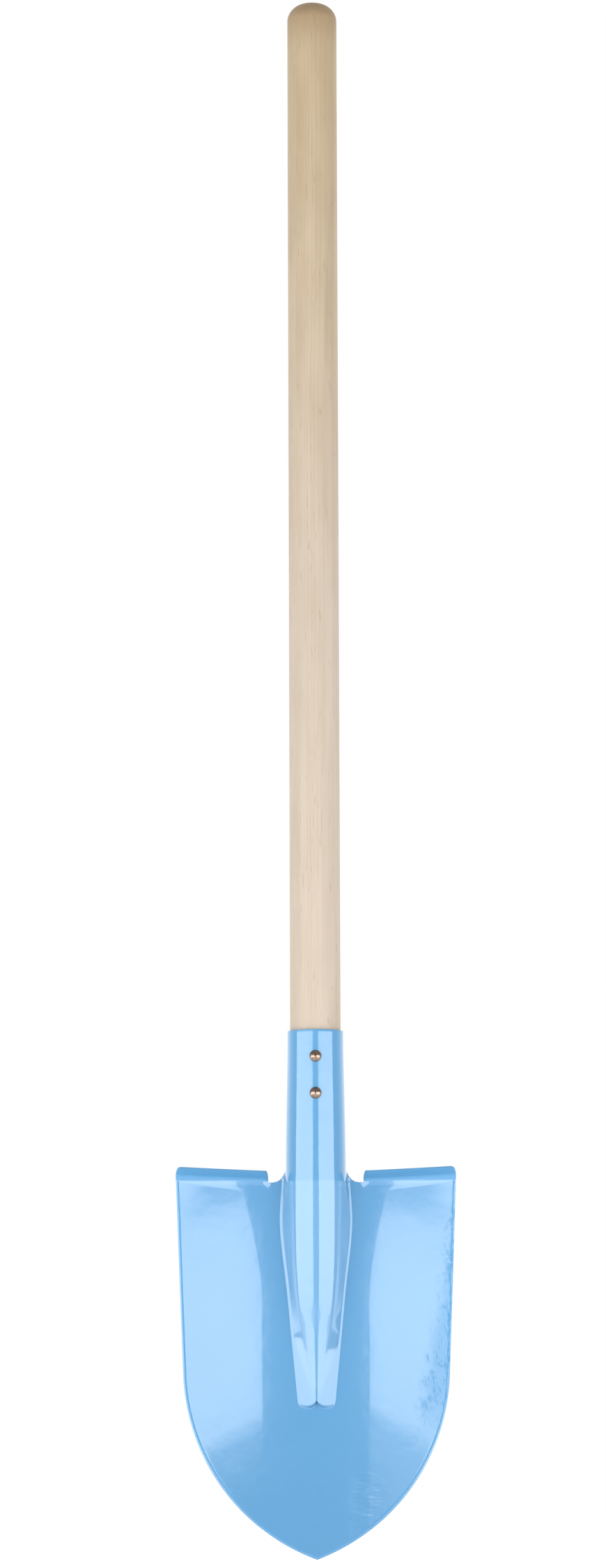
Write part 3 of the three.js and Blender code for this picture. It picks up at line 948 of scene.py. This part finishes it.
def dome(radius, height, seat, side):
    """A dome that lies on a round tube: its crown outwards, its edge following the tube."""
    grid, u, v = patch_of(start, DOME_SIDES, DOME_ROWS)
    cap = ramp(v, *CROWN) * (math.pi / 2)
    reach = radius * sin(cap) * (1.0 - ramp(v, *UNDERSIDE))
    turn = u * (2 * math.pi)
    x = reach * cos(turn)
    lies = root(seat * seat - x * x)
    crown = seat + height * cos(cap)
    y = mix(ramp(v, *WALL), crown, lies - SUNK)
    return moved(grid, x, y * side, reach * sin(turn))


def rivet(seat, height):
    """A head at the front, turned to face outwards, and a tail at the back, at a height."""
    head = dome(size["Head Radius"], size["Head Height"], seat, -1.0)
    tail = dome(size["Tail Radius"], size["Tail Height"], seat, 1.0)
    both = joined(start.node("GeometryNodeFlipFaces", None, {"Mesh": head}), tail)
    shift = start.node("ShaderNodeCombineXYZ", None, {"Z": height})
    return start.node("GeometryNodeTransform", None, {"Geometry": both, "Translation": shift})


upper = rivet(size["Upper Seat"], size["Upper Height"])
lower = rivet(size["Lower Seat"], size["Upper Height"] - size["Pitch"])
close_up(joined(upper, lower), copper)
rivets = grown("rivets", rivet_tree, rivet_sizes)
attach(rivets, "root")
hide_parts("upper_rivet", "lower_rivet")
print("rivets:", len(rivets.data.polygons), "faces")

# %% [markdown]
# ## Floor
#
# The photograph is a cut-out on white, with no shadow. A white paper floor that glows a little stays as
# white as the ground behind it, and still sends light up under the treads as a table would.

# %% Floor
bpy.ops.mesh.primitive_plane_add(size=30.0, location=(0.0, 0.0, 0.0))
floor = bpy.context.object
floor.name = "floor"
floor_paper, floor_shader, start = material("floor paper")
fleck = noise(object_place(start), 0.01, 2.0)
feed(
    floor_shader,
    Base_Color=blend(fleck, (0.90, 0.90, 0.90, 1.0), (0.93, 0.93, 0.93, 1.0)),
    Roughness=0.9,
    Emission_Color=(1.0, 1.0, 1.0, 1.0),
    Emission_Strength=0.36,
)
floor.data.materials.append(floor_paper)
floor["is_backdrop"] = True
print("floor, m:", [round(c, 1) for c in floor.dimensions])

# %% [markdown]
# ## Surround
#
# A white room is brighter behind the spade than in front of it, where the camera stands. Gloss paint
# shows the dark front as the deep blue between the bright zones. One even white would wash the paint
# out, so the strength follows the direction, and matt surfaces get a little more of it than gloss ones.

# %% Surround
GLOSS_FRONT = 0.48
MATT_FRONT = 0.70
GLOSS_BEHIND = 1.3
MATT_BEHIND = 1.5
world = bpy.data.worlds.new("white surround")
bpy.context.scene.world = world
world.use_nodes = True
start = Value(world.node_tree)
towards = start.node("ShaderNodeTexCoord", None, None, "Generated")
_, depth, _ = axes(towards)
seen = start.node("ShaderNodeLightPath", None, None, "Is Camera Ray")
matt = seen.other("Is Diffuse Ray")
front = mix(matt, GLOSS_FRONT, MATT_FRONT)
behind = mix(matt, GLOSS_BEHIND, MATT_BEHIND)
strength = mix(seen, mix(smooth(depth, -0.1, 0.8), front, behind), 1.0)
feed(world.node_tree.nodes["Background"], Color=(1.0, 1.0, 1.0, 1.0), Strength=strength)
print("surround nodes:", len(world.node_tree.nodes))

# %% [markdown]
# ## Softboxes
#
# A large soft light stands on each side of the camera, with a gap between them. The gap shows as the
# darker strip down the socket and the middle of the blade, and the tops of the lights show as the soft
# lower ends of the bright zones. Plain rectangles would end too sharply, so each light fades at its top
# into a dim spill, which is taller on the left.

# %% Softboxes
SOFTBOX_DISTANCE = 0.9
SOFTBOX_FOOT = 0.005
SOFTBOX_TOP = 0.393
TOP_FADE = 0.031
RADIANCE = 3.5


def softbox(name, bearing, width, spill, dimmed):
    """An upright light at a bearing in degrees: bright up to its top, then dimmed up to its spill."""
    turn = math.radians(bearing)
    height = spill - SOFTBOX_FOOT
    light = bpy.data.lights.new(name, "AREA")
    light.shape = "RECTANGLE"
    light.size = width
    light.size_y = height
    light.energy = RADIANCE * math.pi * width * height
    light.use_nodes = True
    start = Value(light.node_tree)
    face = start.node("ShaderNodeNewGeometry", None, None, "Parametric")
    _, up, _ = axes(face)
    level = SOFTBOX_FOOT + up * height
    bright = 1.0 - smooth(level, SOFTBOX_TOP - TOP_FADE, SOFTBOX_TOP)
    dim = (1.0 - smooth(level, SOFTBOX_TOP, spill)) * dimmed
    feed(light.node_tree.nodes["Emission"], Strength=bright + (1.0 - bright) * dim)
    made = bpy.data.objects.new(name, light)
    bpy.context.scene.collection.objects.link(made)
    facing = Vector((-math.sin(turn), math.cos(turn), 0.0))
    made.location = facing * -SOFTBOX_DISTANCE + Vector((0.0, 0.0, (SOFTBOX_FOOT + spill) / 2.0))
    made.rotation_euler = facing.to_track_quat("-Z", "Y").to_euler()
    made.visible_camera = False
    print(name, "at", [round(c, 3) for c in made.location])


softbox("left softbox", bearing=-45.15, width=1.25, spill=0.76, dimmed=0.26)
softbox("right softbox", bearing=41.25, width=1.07, spill=0.45, dimmed=0.14)

# %% [markdown]
# ## Camera
#
# The view is from the front and low down, looking up a little, as the socket's rim and the underside of
# the treads show. A near camera would make the blade look large against the free end, so a long lens
# stands about two and a half metres away. Its length, shift and roll are fitted to the outline.

# %% Camera
DISTANCE = 2.6
ELEVATION = math.radians(-8.2)
ROLL = math.radians(-0.2)
AIM = Vector((0.0, 0.0, 0.3905))
SENSOR = 36.0
FRAME_PX = 2252
LENS_PX = 7338.0
SHIFT_PX = -16.5
lens = bpy.data.cameras.new("camera")
lens.sensor_width = SENSOR
lens.lens = LENS_PX / FRAME_PX * SENSOR
lens.shift_x = SHIFT_PX / FRAME_PX
lens.clip_start = 0.1
camera = bpy.data.objects.new("camera", lens)
bpy.context.scene.collection.objects.link(camera)
back = Vector((0.0, -math.cos(ELEVATION), math.sin(ELEVATION)))
camera.location = AIM + back * DISTANCE
look = (-back).to_track_quat("-Z", "Y").to_matrix().to_4x4()
camera.rotation_euler = (look @ Matrix.Rotation(ROLL, 4, "Z")).to_euler()
bpy.context.scene.camera = camera
bpy.context.scene.view_settings.view_transform = "Standard"
print("camera at", [round(c, 3) for c in camera.location])

# %% [markdown]
# ## Sizes of the finished model
#
# The finished pieces are measured, and the box of the visible spade is printed.

# %% Sizes of the finished model
low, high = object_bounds()
print("visual box, mm:", [round(1000 * c, 2) for c in (*low, *high)])
